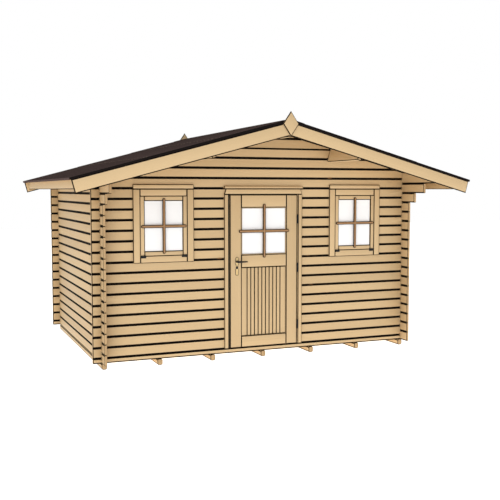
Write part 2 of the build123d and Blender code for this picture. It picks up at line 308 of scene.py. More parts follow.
def buildPineGroup(settings):
    group = newGroup(
        "pineGrain",
        (
            ("Vector", "NodeSocketVector", None),
            ("Seed", "NodeSocketFloat", 0.0),
            ("Light", "NodeSocketColor", (0.8, 0.6, 0.4, 1)),
            ("Dark", "NodeSocketColor", (0.5, 0.3, 0.15, 1)),
            ("Contrast", "NodeSocketFloat", 0.5),
            ("Tone", "NodeSocketFloat", 0.1),
        ),
        (("Color", "NodeSocketColor"), ("Roughness", "NodeSocketFloat"), ("Height", "NodeSocketFloat")),
    )
    entry = addNode(group, "NodeGroupInput")
    leave = addNode(group, "NodeGroupOutput")
    chance = addNode(group, "ShaderNodeTexWhiteNoise", noise_dimensions="1D")
    group.links.new(entry.outputs["Seed"], chance.inputs["W"])
    shift = vectorNode(group, "MULTIPLY", chance.outputs["Color"], settings["shift"]).outputs[0]
    vector = vectorNode(group, "ADD", entry.outputs["Vector"], shift).outputs[0]

    # Distance from the pith, with the slow wander that makes arches on a planed face
    spread = settings["pithSpread"]
    pith = vectorNode(group, "MULTIPLY", chance.outputs["Color"], (0.0, spread, 0.0)).outputs[0]
    pith = vectorNode(group, "ADD", pith, (0.0, -spread / 2, -settings["pithDrop"])).outputs[0]
    section = vectorNode(group, "MULTIPLY", entry.outputs["Vector"], (0.0, 1.0, 1.0)).outputs[0]
    radius = vectorNode(group, "DISTANCE", section, pith).outputs["Value"]
    wander = noiseNode(group, vector, settings["wanderStretch"], 2.0)
    wander = mathNode(group, "MULTIPLY", wander, settings["wander"])
    spacing = noiseNode(group, vector, settings["spacingStretch"], 1.0)
    wander = mathNode(group, "ADD", wander, mathNode(group, "MULTIPLY", spacing, settings["spacing"]))
    turns = mathNode(group, "MULTIPLY", mathNode(group, "ADD", radius, wander), settings["ringsPerMetre"])
    rings = mathNode(group, "SINE", mathNode(group, "MULTIPLY", turns, 2 * math.pi))
    rings = rangeNode(group, rings, -0.4, 1.0)

    fibre = noiseNode(group, vector, settings["fibreStretch"], 2.0)
    cloud = noiseNode(group, vector, settings["cloudStretch"], 1.0)
    streak = mathNode(group, "MULTIPLY", rings, settings["ringShare"])
    streak = mathNode(group, "ADD", streak, mathNode(group, "MULTIPLY", fibre, settings["fibreShare"]))
    streak = mathNode(group, "ADD", streak, mathNode(group, "MULTIPLY", cloud, settings["cloudShare"]))
    amount = mathNode(group, "MULTIPLY", streak, entry.outputs["Contrast"], True)
    base = mixColours(group, amount, entry.outputs["Light"], entry.outputs["Dark"])

    # A few small knots: only some of the cells hold one
    knotSpace = addNode(group, "ShaderNodeMapping")
    knotSpace.inputs["Scale"].default_value = settings["knotStretch"]
    group.links.new(vector, knotSpace.inputs["Vector"])
    cells = addNode(group, "ShaderNodeTexVoronoi")
    cells.inputs["Scale"].default_value = 1.0
    group.links.new(knotSpace.outputs["Vector"], cells.inputs["Vector"])
    spot = rangeNode(group, cells.outputs["Distance"], *settings["knotSize"], 1.0, 0.0)
    chosen = addNode(group, "ShaderNodeSeparateXYZ")
    group.links.new(cells.outputs["Color"], chosen.inputs[0])
    rare = mathNode(group, "GREATER_THAN", chosen.outputs[0], settings["knotShare"])
    knot = mathNode(group, "MULTIPLY", mathNode(group, "MULTIPLY", spot, rare), settings["knotDepth"])
    knotted = mixColours(group, knot, base, settings["knotColour"])

    tone = mathNode(group, "SUBTRACT", chance.outputs["Value"], 0.5)
    tone = mathNode(group, "MULTIPLY", tone, entry.outputs["Tone"])
    toned = addNode(group, "ShaderNodeHueSaturation")
    group.links.new(mathNode(group, "ADD", tone, 1.0), toned.inputs["Value"])
    group.links.new(knotted, toned.inputs["Color"])
    group.links.new(toned.outputs["Color"], leave.inputs["Color"])
    group.links.new(rangeNode(group, fibre, 0.2, 0.8, *settings["roughness"]), leave.inputs["Roughness"])
    height = mathNode(group, "ADD", mathNode(group, "MULTIPLY", rings, settings["ringHeight"]), fibre)
    group.links.new(height, leave.inputs["Height"])
    return group


pineGroup = buildPineGroup(pineSettings)

up = Vector((0, 0, 1))
alongX = Vector((1, 0, 0))

# Turns that lay the grain along X, and the grain's direction on the piece
slope = math.radians(15)
grainTurns = {
    "x": (0, 0, 0),
    "y": (0, 0, -math.pi / 2),
    "z": (0, math.pi / 2, 0),
    "leftSlope": (0, slope, 0),
    "rightSlope": (0, -slope, 0),
}
grainWays = {
    "x": alongX,
    "y": Vector((0, 1, 0)),
    "z": up,
    "leftSlope": Vector((math.cos(slope), 0, math.sin(slope))),
    "rightSlope": Vector((math.cos(slope), 0, -math.sin(slope))),
}

# Colours are linear: a planed face, an end across the grain, and near-black painted shade for the joint
# grooves and the eased arrises
pineTones = {
    "face": {
        "light": (0.680, 0.500, 0.280, 1),
        "dark": (0.455, 0.298, 0.142, 1),
        "contrast": 0.62,
        "tone": 0.11,
        "gloss": 0.35,
    },
    "end": {
        "light": (0.630, 0.445, 0.245, 1),
        "dark": (0.360, 0.220, 0.100, 1),
        "contrast": 0.90,
        "tone": 0.10,
        "gloss": 0.20,
    },
    # Near-black painted shade for the joint grooves and the eased arrises
    "jointShade": {
        "light": (0.007, 0.005, 0.004, 1),
        "dark": (0.004, 0.003, 0.002, 1),
        "contrast": 0.60,
        "tone": 0.05,
        "gloss": 0.02,
    },
}
bumpOnPine = {"strength": 0.22, "distance": 0.0005}


def woodMaterial(name, turn, kind):
    tones = pineTones[kind]
    material, tree, shader = newMaterial(name)
    place = addNode(tree, "ShaderNodeTexCoord")
    middle = addNode(tree, "ShaderNodeAttribute", attribute_name="boardMiddle")
    seed = addNode(tree, "ShaderNodeAttribute", attribute_name="boardSeed")
    local = vectorNode(tree, "SUBTRACT", place.outputs["Object"], middle.outputs["Vector"])
    turned = addNode(tree, "ShaderNodeMapping")
    turned.inputs["Rotation"].default_value = turn
    tree.links.new(local.outputs[0], turned.inputs["Vector"])
    pine = addNode(tree, "ShaderNodeGroup", node_tree=pineGroup)
    tree.links.new(turned.outputs["Vector"], pine.inputs["Vector"])
    tree.links.new(seed.outputs["Fac"], pine.inputs["Seed"])
    for label in ("light", "dark", "contrast", "tone"):
        pine.inputs[label.capitalize()].default_value = tones[label]
    tree.links.new(pine.outputs["Color"], shader.inputs["Base Color"])
    tree.links.new(pine.outputs["Roughness"], shader.inputs["Roughness"])
    shader.inputs["Specular IOR Level"].default_value = tones["gloss"]
    linkBump(tree, shader, pine.outputs["Height"], **bumpOnPine)
    return material


woodFinishes = {}
jointShadeFinish = woodMaterial("pineJointShadow", grainTurns["x"], "jointShade")
for way, turn in grainTurns.items():
    woodFinishes[way] = (
        woodMaterial(f"planedPine_{way}", turn, "face"),
        jointShadeFinish,
        woodMaterial(f"pineEndGrain_{way}", turn, "end"),
    )


# Brown glazing bars, roofing felt, glass and metals
def spottedMaterial(name, first, second, roughness, metallic=0.0, size=90.0, gloss=0.5):
    # A stain, paint or metal with faint unevenness in its colour and its roughness
    material, tree, shader = newMaterial(name)
    place = addNode(tree, "ShaderNodeTexCoord")
    spots = noiseNode(tree, place.outputs["Object"], (size, size, size), 3.0)
    tree.links.new(mixColours(tree, spots, first, second), shader.inputs["Base Color"])
    uneven = rangeNode(tree, spots, 0.2, 0.8, roughness - 0.06, roughness + 0.08)
    tree.links.new(uneven, shader.inputs["Roughness"])
    shader.inputs["Metallic"].default_value = metallic
    shader.inputs["Specular IOR Level"].default_value = gloss
    linkBump(tree, shader, spots, 0.1, 0.0004)
    return material


feltSettings = {
    "grit": (0.148, 0.104, 0.097, 1),
    "bitumen": (0.070, 0.048, 0.044, 1),
    "cloud": (0.082, 0.056, 0.050, 1),
    "gritStretch": (480.0, 480.0, 480.0),
    "cloudStretch": (2.2, 2.2, 2.2),
    "cloudShare": 0.6,
    "roughness": (0.82, 0.96),
    "specular": 0.0,
}


def feltMaterial(settings):
    material, tree, shader = newMaterial("roofFelt")
    place = addNode(tree, "ShaderNodeTexCoord")
    grit = noiseNode(tree, place.outputs["Object"], settings["gritStretch"], 2.0)
    cloud = noiseNode(tree, place.outputs["Object"], settings["cloudStretch"], 3.0)
    colour = mixColours(tree, rangeNode(tree, grit, 0.35, 0.7), settings["bitumen"], settings["grit"])
    clouded = mathNode(tree, "MULTIPLY", cloud, settings["cloudShare"])
    colour = mixColours(tree, clouded, colour, settings["cloud"])
    tree.links.new(colour, shader.inputs["Base Color"])
    tree.links.new(rangeNode(tree, grit, 0.2, 0.8, *settings["roughness"]), shader.inputs["Roughness"])
    shader.inputs["Specular IOR Level"].default_value = settings["specular"]
    linkBump(tree, shader, grit, 0.5, 0.0012)
    return material


# A near-white base colour that paints the bright room's reflection onto the glass
glassSettings = {
    "first": (0.95, 0.96, 0.965, 1),
    "second": (0.99, 0.99, 0.99, 1),
    "hazeStretch": (5.0, 5.0, 5.0),
    "roughness": (0.10, 0.20),
    "transmission": 0.04,
    "ior": 1.45,
}


def glassMaterial(settings):
    # Glass painted near-white: the base colour is a painted reflection of the bright room, which makes it
    # read as white from outside
    material, tree, shader = newMaterial("glassPaintedReflection")
    place = addNode(tree, "ShaderNodeTexCoord")
    haze = noiseNode(tree, place.outputs["Object"], settings["hazeStretch"], 2.0)
    colour = mixColours(tree, haze, settings["first"], settings["second"])
    tree.links.new(colour, shader.inputs["Base Color"])
    tree.links.new(rangeNode(tree, haze, 0.2, 0.8, *settings["roughness"]), shader.inputs["Roughness"])
    shader.inputs["Transmission Weight"].default_value = settings["transmission"]
    shader.inputs["IOR"].default_value = settings["ior"]
    return material


# Two colours that mix in spots, the roughness, and where they matter the metal and the gloss
paintSettings = {
    "glazingBarBrown": {
        "first": (0.40, 0.220, 0.090, 1),
        "second": (0.28, 0.145, 0.058, 1),
        "roughness": 0.46,
        "size": 60.0,
    },
    # Near-black painted shade for the bars' sides and rounded edges
    "glazingBarEdgeShade": {
        "first": (0.016, 0.008, 0.006, 1),
        "second": (0.010, 0.006, 0.004, 1),
        "roughness": 0.70,
        "gloss": 0.05,
    },
    "feltEdge": {
        "first": (0.008, 0.006, 0.006, 1),
        "second": (0.013, 0.010, 0.009, 1),
        "roughness": 0.85,
        "gloss": 0.02,
    },
    "blackIron": {
        "first": (0.006, 0.006, 0.007, 1),
        "second": (0.012, 0.012, 0.011, 1),
        "roughness": 0.48,
        "gloss": 0.25,
    },
    "leverBlack": {
        "first": (0.007, 0.006, 0.006, 1),
        "second": (0.015, 0.013, 0.012, 1),
        "roughness": 0.36,
        "gloss": 0.30,
    },
    # A near-black strip put in the door gap as painted shadow
    "shadeSealRubber": {
        "first": (0.006, 0.005, 0.005, 1),
        "second": (0.010, 0.009, 0.009, 1),
        "roughness": 0.80,
        "gloss": 0.05,
    },
    "lockBrass": {
        "first": (0.80, 0.60, 0.30, 1),
        "second": (0.66, 0.47, 0.21, 1),
        "roughness": 0.38,
        "metallic": 0.7,
    },
    "zincScrew": {
        "first": (0.50, 0.42, 0.27, 1),
        "second": (0.38, 0.31, 0.19, 1),
        "roughness": 0.38,
        "metallic": 0.9,
        "size": 200.0,
    },
}
paints = {name: spottedMaterial(name, **values) for name, values in paintSettings.items()}
barBrown = paints["glazingBarBrown"]
barEdgeShade = paints["glazingBarEdgeShade"]
feltEdge = paints["feltEdge"]
blackIron = paints["blackIron"]
darkLever = paints["leverBlack"]
shadeSealBlack = paints["shadeSealRubber"]
dullBrass = paints["lockBrass"]
zincScrew = paints["zincScrew"]
roofFelt = feltMaterial(feltSettings)
glassPaintedReflection = glassMaterial(glassSettings)
print("garden house: finishes made")


# Every wooden piece gets eased edges painted near-black as shade lines, and each board in it its own
# grain. A seed is a piece's own starting number, and each board in the piece counts on from it.
seedStep = 0.37


def markBoards(thing, seed):
    shape = bmesh.new()
    shape.from_mesh(thing.data)
    seedLayer = shape.verts.layers.float.new("boardSeed")
    middleLayer = shape.verts.layers.float_vector.new("boardMiddle")
    seen = set()
    number = seed
    for vertex in shape.verts:
        if vertex in seen:
            continue
        number += 1
        island = [vertex]
        seen.add(vertex)
        for current in island:
            for edge in current.link_edges:
                other = edge.other_vert(current)
                if other not in seen:
                    seen.add(other)
                    island.append(other)
        low = Vector([min(v.co[i] for v in island) for i in range(3)])
        high = Vector([max(v.co[i] for v in island) for i in range(3)])
        for current in island:
            current[seedLayer] = number * seedStep
            current[middleLayer] = (low + high) / 2
    shape.to_mesh(thing.data)
    shape.free()


def paintWood(piece, way, grooves=None):
    # Material slots: planed face, painted shade on the joint grooves and arrises, and end grain
    piece.data.materials.clear()
    for material in woodFinishes[way]:
        piece.data.materials.append(material)
    grain = grainWays[way]
    for face in piece.data.polygons:
        face.material_index = 0
        if abs(face.normal.dot(grain)) > 0.9:
            face.material_index = 2
        elif grooves and 0.6 < abs(face.normal.dot(grooves)) < 0.8:
            face.material_index = 1


def dressWood(piece, way, seed, ease, grooves=None, segments=2, angle=50):
    paintWood(piece, way, grooves)
    # Slot 1 on the eased edges is the near-black painted shade
    easeEdges(piece, ease, segments, 1, lambda edge: edge.calc_face_angle(0) > math.radians(angle))
    markBoards(piece, seed)
    smoothByAngle(piece)
    return piece


# Wall logs: the bevels along each joint are rounded on into the face, and the upright edges of
# the ends and of the corner notches are eased; these bevels and eases take the painted shade, which draws
# each log as dark lines round a pale face
logSettings = {
    "seedSpan": 60,
    "jointEase": 0.0070,
    "uprightEase": 0.0085,
    "endEase": 0.0052,
}


def isUpright(edge):
    first, second = edge.verts
    return abs((second.co - first.co).normalized().z) > 0.95


def isJointEdge(edge):
    # Between a log's upright face and the bevel along its joint
    heights = sorted(abs(face.normal.z) for face in edge.link_faces)
    return heights[0] < 0.1 and 0.5 < heights[1] < 0.9


def isEndEdge(edge):
    return not isUpright(edge) and edge.calc_face_angle(0) > math.radians(80)


def dressLogs(piece, way, seed, settings):
    paintWood(piece, way, up)
    # The joint bevels and every ease take slot 1, the near-black painted shade
    easeEdges(piece, settings["endEase"], 1, 1, isEndEdge)
    easeEdges(piece, settings["uprightEase"], 2, 1, isUpright)
    easeEdges(piece, settings["jointEase"], 3, 1, isJointEdge)
    markBoards(piece, seed)
    smoothByAngle(piece)


for count, (nodeName, way) in enumerate((
    ("front_wall_even_logs", "x"),
    ("front_wall_odd_logs", "x"),
    ("back_wall_even_logs", "x"),
    ("back_wall_odd_logs", "x"),
    ("left_wall_even_logs", "y"),
    ("left_wall_odd_logs", "y"),
    ("right_wall_even_logs", "y"),
    ("right_wall_odd_logs", "y"),
)):
    logs = mergedCopy(nodeName, nodeName + "_rounded")
    dressLogs(logs, way, logSettings["seedSpan"] * count, logSettings)
    settle(logs, "house", "wall_logs", nodeName)

# Carpentry that keeps the shape of its node: the way of its grain and the ease of its edges
carpentrySeeds = {"first": 600, "span": 60}
carpentry = {
    "ridge_purlin": ("y", 0.0075),
    "left_purlin": ("y", 0.0075),
    "right_purlin": ("y", 0.0075),
    "eave_fascias": ("y", 0.0075),
    "front_left_bargeboard": ("leftSlope", 0.0105),
    "front_right_bargeboard": ("rightSlope", 0.0105),
    "rear_left_bargeboard": ("leftSlope", 0.0105),
    "rear_right_bargeboard": ("rightSlope", 0.0105),
    "front_finial": ("z", 0.0085),
    "rear_finial": ("z", 0.0085),
    "door_jambs": ("z", 0.0060),
    "door_head": ("x", 0.0060),
    "door_casings": ("z", 0.0060),
    "door_head_casing": ("x", 0.0075),
    "door_drip_cap": ("x", 0.0060),
}
for count, (nodeName, (way, ease)) in enumerate(carpentry.items()):
    piece = mergedCopy(nodeName, nodeName + "_eased")
    dressWood(piece, way, carpentrySeeds["first"] + carpentrySeeds["span"] * count, ease)
    settle(piece, "house", "planed_pine", nodeName)

# Bearers have round lower edges, so their eases start at flatter angles and have more segments
bearerSettings = {"seed": 1500, "ease": 0.0055, "segments": 3, "angle": 25}
bearers = mergedCopy("floor_bearers", "floor_bearers_rounded")
dressWood(bearers, "y", grooves=None, **bearerSettings)
settle(bearers, "house", "bearer_wood", "floor_bearers")
print("garden house: logs, purlins and roof trim dressed")


# Tongue and groove boards: a slab is narrowed to one board, eased, and repeated
boardSettings = {
    "ease": 0.0030,
    "slabs": {
        "left_roof_boards": {"count": 38, "way": "leftSlope", "seed": 1600},
        "right_roof_boards": {"count": 38, "way": "rightSlope", "seed": 1700},
        "floor_deck": {"count": 30, "way": "x", "seed": 1800},
    },
}


def boardedSlab(nodeName, count, way, seed, ease):
    low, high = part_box(nodeName)
    step = (high.y - low.y) / count
    piece = mergedCopy(nodeName, nodeName + "_laid")
    piece.scale = (1, 1 / count, 1)
    piece.location = (0, low.y - low.y / count, 0)
    applyPlace(piece)
    piece.data.materials.clear()
    for material in woodFinishes[way]:
        piece.data.materials.append(material)
    for face in piece.data.polygons:
        face.material_index = 2 if abs(face.normal.dot(grainWays[way])) > 0.9 else 0
    # The eased board edges take slot 1, the near-black painted shade
    modifierBevel(piece, ease, 1, 50, 1)
    repeatAlongY(piece, count, step)
    markBoards(piece, seed)
    settle(piece, "house", "boarding", nodeName)


for nodeName, values in boardSettings["slabs"].items():
    boardedSlab(nodeName, ease=boardSettings["ease"], **values)
print("garden house: floor and roof boards laid")


# Roofing felt: a copy of the node is the lowest sheet, and two more sheets and a ridge strip lap
# over it, each held along its lower edge by a row of nails
feltLayout = {
    "sheetEnds": (1.640, 0.840),
    "ridgeStrip": 0.170,
    "thickness": 0.0030,
    "nailStep": 0.120,
    "nailRadius": 0.0055,
    "nailHeight": 0.0016,
    "nailInset": 0.028,
    "lapEase": 0.0010,
}


def paintFelt(sheet):
    # Grit on the slopes, bare black bitumen on the cut edges at the front and the back
    sheet.data.materials.clear()
    sheet.data.materials.append(roofFelt)
    sheet.data.materials.append(feltEdge)
    for face in sheet.data.polygons:
        face.material_index = 1 if abs(face.normal.y) > 0.7 else 0


def layFelt(settings):
    roofLow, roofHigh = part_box("left_roof_felt")
    ridgeTop = Vector((0, 0, roofHigh.z))
    front, back = roofLow.y, roofHigh.y
    for side, way in ((-1, "left"), (1, "right")):
        lowest = mergedCopy(f"{way}_roof_felt", f"{way}_roof_felt_sheet")
        paintFelt(lowest)
        settle(lowest, "house", "roof_felt", f"{way}_roof_felt")
        down = Vector((side * math.cos(slope), 0, -math.sin(slope)))
        out = Vector((side * math.sin(slope), 0, math.cos(slope)))
        layers = []
        nails = []
        for layer, reach in enumerate(settings["sheetEnds"] + (settings["ridgeStrip"],)):
            base = layer * settings["thickness"]
            sheet = startBlock((0, front, base), (reach, back, base + settings["thickness"]))
            useOnly(sheet)
            sheet.rotation_euler = (0, slope if side > 0 else math.pi - slope, 0)
            sheet.location = ridgeTop
            if side < 0:
                sheet.scale = (1, 1, -1)
            applyPlace(sheet)
            layers.append(sheet)
            edge = ridgeTop + down * (reach - settings["nailInset"])
            lift = base + settings["thickness"]
            nail = startDisc((0, 0, 0), settings["nailRadius"], 2 * settings["nailHeight"], "z", 10)
            bevelWhere(nail, lambda middle, direction: middle.z > 0, settings["nailHeight"] / 2, 1)
            nail.rotation_euler = (0, side * slope, 0)
            nail.location = edge + out * lift + Vector((0, front + settings["nailInset"], 0))
            applyPlace(nail)
            count = int((back - front - 2 * settings["nailInset"]) / settings["nailStep"]) + 1
            repeatAlongY(nail, count, settings["nailStep"])
            nails.append(nail)
        sheets = joinAll(layers, f"{way}_felt_laps")
        useOnly(sheets)
        bpy.ops.object.mode_set(mode="EDIT")
        bpy.ops.mesh.select_all(action="SELECT")
        bpy.ops.mesh.normals_make_consistent(inside=False)
        bpy.ops.object.mode_set(mode="OBJECT")
        modifierBevel(sheets, settings["lapEase"], 2, 50)
        paintFelt(sheets)
        smoothByAngle(sheets)
        settle(sheets, "house", "roof_felt")
        finishPart(nails, f"{way}_felt_nails", zincScrew, "house", "lock_brass", 30)


layFelt(feltLayout)
print("garden house: felt laid")


# Flat glazing bars with round ends, a softened front, and painted shade: near-black on every face but the
# front
barSettings = {
    "roundSegments": 10,
    "roundSlack": 0.0003,
    "softening": 0.0075,
    "profile": 0.6,
    "flatFace": 0.98,
    "proud": 0.0006,
    "endReach": 0.08,
}


def glazingBar(low, high, settings):
    bar = startBlock(low, high)
    width = min(high[0] - low[0], high[2] - low[2])
    corner = width / 2 - settings["roundSlack"]
    bevelWhere(bar, lambda middle, way: abs(way.y) > 0.9, corner, settings["roundSegments"])
    front = low[1]
    bar.data.materials.append(barBrown)
    bar.data.materials.append(barEdgeShade)
    bevelWhere(
        bar,
        lambda middle, way: abs(middle.y - front) < 1e-5,
        settings["softening"],
        2,
        0,
        settings["profile"],
    )
    # Every face but the flat front takes the painted shade
    for face in bar.data.polygons:
        face.material_index = 0 if abs(face.normal.y) > settings["flatFace"] else 1
    return bar


def crossOfBars(nodeName, body, settings):
    low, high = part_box(nodeName)
    # The width and the crossing's height are read from the node's outline
    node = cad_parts[nodeName]
    sideHeights = [v.co.z for v in node.data.vertices if v.co.x < low.x + 1e-4]
    crossing = (min(sideHeights) + max(sideHeights)) / 2
    half = max(
        abs(v.co.z - crossing) for v in node.data.vertices if abs(v.co.x - low.x) < settings["endReach"]
    )
    middle = (low.x + high.x) / 2
    level = glazingBar((low.x, low.y, crossing - half), (high.x, high.y, crossing + half), settings)
    # The upright bar stands a little proud, so that its face and the level bar's don't share a plane
    upright = glazingBar(
        (middle - half, low.y - settings["proud"], low.z), (middle + half, high.y, high.z), settings
    )
    cross = joinAll([level, upright], nodeName + "_rounded")
    smoothByAngle(cross, 35)
    settle(cross, body, "glazing_bar_wood", nodeName)


for nodeName, body in (
    ("door_glazing_bars", "door"),
    ("left_window_bars", "house"),
    ("right_window_bars", "house"),
):
    crossOfBars(nodeName, body, barSettings)
for nodeName in ("door_pane", "left_window_pane", "right_window_pane"):
    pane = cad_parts[nodeName]
    pane.data.materials.clear()
    pane.data.materials.append(glassPaintedReflection)
print("garden house: panes and glazing bars made")


# Windows: every casing, lining and sash board is a board of its own
windowSettings = {
    "casingBoard": 0.080,
    "topBoard": 0.051,
    "filler": 0.078,
    "fillerRecess": 0.004,
    "lining": 0.055,
    "liningSill": 0.063,
    "liningHead": 0.087,
    "sashMember": 0.050,
    "moulding": 0.010,
    "casingEase": 0.0070,
    "innerEase": 0.002,
    "hingeLength": 0.058,
    "hingeRadius": 0.0075,
    "hingeLeaf": 0.026,
    "hingeInset": 0.002,
    "hingeDrop": 0.003,
    "hingeThickness": 0.0016,
    "knuckleGap": 0.0008,
}


def boardSet(boards, name, way, seed, ease):
    made = [startBlock(low, high) for low, high in boards]
    piece = joinAll(made, name)
    return dressWood(piece, way, seed, ease)


def buildWindow(side, seed, settings):
    low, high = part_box(f"{side}_window_casing")
    front, back = low.y, high.y
    topLow = high.z - settings["topBoard"]
    board = settings["casingBoard"]
    uprights = [
        ((low.x, front, low.z), (low.x + board, back, topLow)),
        ((high.x - board, front, low.z), (high.x, back, topLow)),
    ]
    fillerFront = front + settings["fillerRecess"]
    level = [((low.x, front, topLow), (high.x, back, high.z))]
    for bottom in (low.z, topLow - settings["filler"]):
        level.append(
            ((low.x + board, fillerFront, bottom), (high.x - board, back, bottom + settings["filler"]))
        )
    sides = boardSet(uprights, f"{side}_casing_uprights", "z", seed, settings["casingEase"])
    settle(sides, "house", "planed_pine", f"{side}_window_casing")
    crossBoards = boardSet(level, f"{side}_casing_boards", "x", seed + 10, settings["casingEase"])
    settle(crossBoards, "house", "planed_pine", f"{side}_window_casing")

    low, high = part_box(f"{side}_window_frame")
    lining = settings["lining"]
    uprights = [
        ((low.x, low.y, low.z), (low.x + lining, high.y, high.z)),
        ((high.x - lining, low.y, low.z), (high.x, high.y, high.z)),
    ]
    level = [
        ((low.x + lining, low.y, low.z), (high.x - lining, high.y, low.z + settings["liningSill"])),
        ((low.x + lining, low.y, high.z - settings["liningHead"]), (high.x - lining, high.y, high.z)),
    ]
    inner = settings["innerEase"]
    sides = boardSet(uprights, f"{side}_lining_uprights", "z", seed + 20, inner)
    settle(sides, "house", "planed_pine", f"{side}_window_frame")
    ends = boardSet(level, f"{side}_lining_boards", "x", seed + 30, inner)
    settle(ends, "house", "planed_pine", f"{side}_window_frame")

    low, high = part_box(f"{side}_window_sash")
    member = settings["sashMember"]

    def moulded(nearCorner, farCorner, along, across, innerEdge):
        # A sash member whose front edge towards the glass is chamfered
        made = startBlock(nearCorner, farCorner)

        def isInner(middle, way):
            atFront = middle.y < low.y + 1e-4
            return abs(way[along]) > 0.9 and abs(middle[across] - innerEdge) < 1e-5 and atFront

        bevelWhere(made, isInner, settings["moulding"], 1)
        return made

    stiles = [
        moulded((near, low.y, low.z), (near + member, high.y, high.z), 2, 0, innerEdge)
        for near, innerEdge in ((low.x, low.x + member), (high.x - member, high.x - member))
    ]
    rails = [
        moulded(
            (low.x + member, low.y, bottom), (high.x - member, high.y, bottom + member), 0, 2, innerEdge
        )
        for bottom, innerEdge in ((low.z, low.z + member), (high.z - member, high.z - member))
    ]
    stilesPiece = joinAll(stiles, f"{side}_sash_stiles")
    dressWood(stilesPiece, "z", seed + 40, inner, alongX)
    settle(stilesPiece, "house", "planed_pine", f"{side}_window_sash")
    railsPiece = joinAll(rails, f"{side}_sash_rails")
    dressWood(railsPiece, "x", seed + 50, inner, up)
    settle(railsPiece, "house", "planed_pine", f"{side}_window_sash")

    # Two short black hinges carry the sash on its lower edge
    hinges = []
    length, radius = settings["hingeLength"], settings["hingeRadius"]
    inset, top = settings["hingeInset"], low.z - settings["hingeDrop"]
    for start in (low.x + inset, high.x - length - inset):
        for count in range(3):
            place = (start + length * (count + 0.5) / 3, fillerFront - radius * 0.6, top)
            knuckle = startDisc(place, radius, length / 3 - settings["knuckleGap"], "x", 16)
            bevelWhere(knuckle, lambda middle, way: abs(way.x) < 0.5, 0.0008, 1)
            hinges.append(knuckle)
        leaf = startBlock(
            (start, fillerFront - settings["hingeThickness"], low.z - settings["hingeLeaf"]),
            (start + length, fillerFront + 0.0004, top),
        )
        bevelWhere(leaf, lambda middle, way: abs(way.y) > 0.9 and middle.z < low.z - 0.01, 0.003, 3)
        hinges.append(leaf)
    finishPart(hinges, f"{side}_sash_hinges", blackIron, "house", "black_iron")


buildWindow("left", 2000, windowSettings)
buildWindow("right", 2100, windowSettings)
print("garden house: windows made")


# Door: the leaf's framing and grooved panel with painted shade in the grooves, a black strip beside it put
# in as painted shadow, and the beads round its glass
doorSettings = {
    "leafEase": 0.0072,
    "beadWidth": 0.011,
    "beadDepth": 0.010,
    "beadInset": 0.003,
    "beadEase": 0.003,
    "shadeSealDepth": 0.0165,
    "shadeSealGap": 0.0052,
    "shadeSealWidth": 0.0130,
    "shadeSealSunk": 0.0005,
    "shadeSealRound": 0.002,
    "plateRim": 0.0045,
    "plateSunk": 0.0006,
    "plateFace": 0.0005,
    "roseRadius": 0.0135,
    "roseHeight": 0.005,
    "keyCover": (0.017, 0.030, 0.0025),
    "keyDrop": 0.068,
    "screwRadius": 0.0038,
    "screwHeight": 0.0024,
    "screwInset": 0.012,
}


def buildDoor(settings):
    for nodeName, way, seed, grooves in (
        ("door_stiles", "z", 2200, None),
        ("door_rails", "x", 2220, None),
        # The panel's grooves take the painted shade
        ("door_panel", "z", 2240, alongX),
    ):
        piece = mergedCopy(nodeName, nodeName + "_eased")
        dressWood(piece, way, seed, settings["leafEase"], grooves)
        settle(piece, "door", "planed_pine", nodeName)

    # A black strip fills the slot between the casing and the leaf's lock edge as painted shadow, standing
    # in for the shade in the gap
    casingLow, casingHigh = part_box("door_casings")
    leafLow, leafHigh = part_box("door_stiles")
    shadeSealFront = casingHigh.y - settings["shadeSealDepth"]
    shadeSeal = startBlock(
        (leafLow.x - settings["shadeSealGap"] - settings["shadeSealWidth"], shadeSealFront, casingLow.z),
        (leafLow.x - settings["shadeSealGap"], casingHigh.y + settings["shadeSealSunk"], casingHigh.z),
    )
    bevelWhere(
        shadeSeal,
        lambda middle, way: middle.y < shadeSealFront + 0.0001 and abs(way.z) > 0.9,
        settings["shadeSealRound"],
        3,
    )
    finishPart([shadeSeal], "door_shade_seal", shadeSealBlack, "house", "roof_felt")

    # Beads hold the pane on both faces
    low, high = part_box("door_pane")
    width, depth, inset = settings["beadWidth"], settings["beadDepth"], settings["beadInset"]
    for label, near, far in (
        ("outer", leafLow.y + inset, low.y),
        ("inner", high.y, min(high.y + depth, leafHigh.y - inset)),
    ):
        uprights = [
            ((low.x, near, low.z), (low.x + width, far, high.z)),
            ((high.x - width, near, low.z), (high.x, far, high.z)),
        ]
        level = [
            ((low.x + width, near, low.z), (high.x - width, far, low.z + width)),
            ((low.x + width, near, high.z - width), (high.x - width, far, high.z)),
        ]
        sides = boardSet(uprights, f"door_{label}_bead_uprights", "z", 2260, settings["beadEase"])
        settle(sides, "door", "planed_pine")
        ends = boardSet(level, f"door_{label}_beads", "x", 2270, settings["beadEase"])
        settle(ends, "door", "planed_pine")


buildDoor(doorSettings)


# Hinges, lock plates and lever keep their nodes' shapes, with softened edges
def softCopy(nodeName, finish, width, segments, body, slotName):
    piece = mergedCopy(nodeName, nodeName + "_soft")
    piece.data.materials.clear()
    piece.data.materials.append(finish)
    modifierBevel(piece, width, segments, 30)
    smoothByAngle(piece, 35)
    return settle(piece, body, slotName, nodeName)


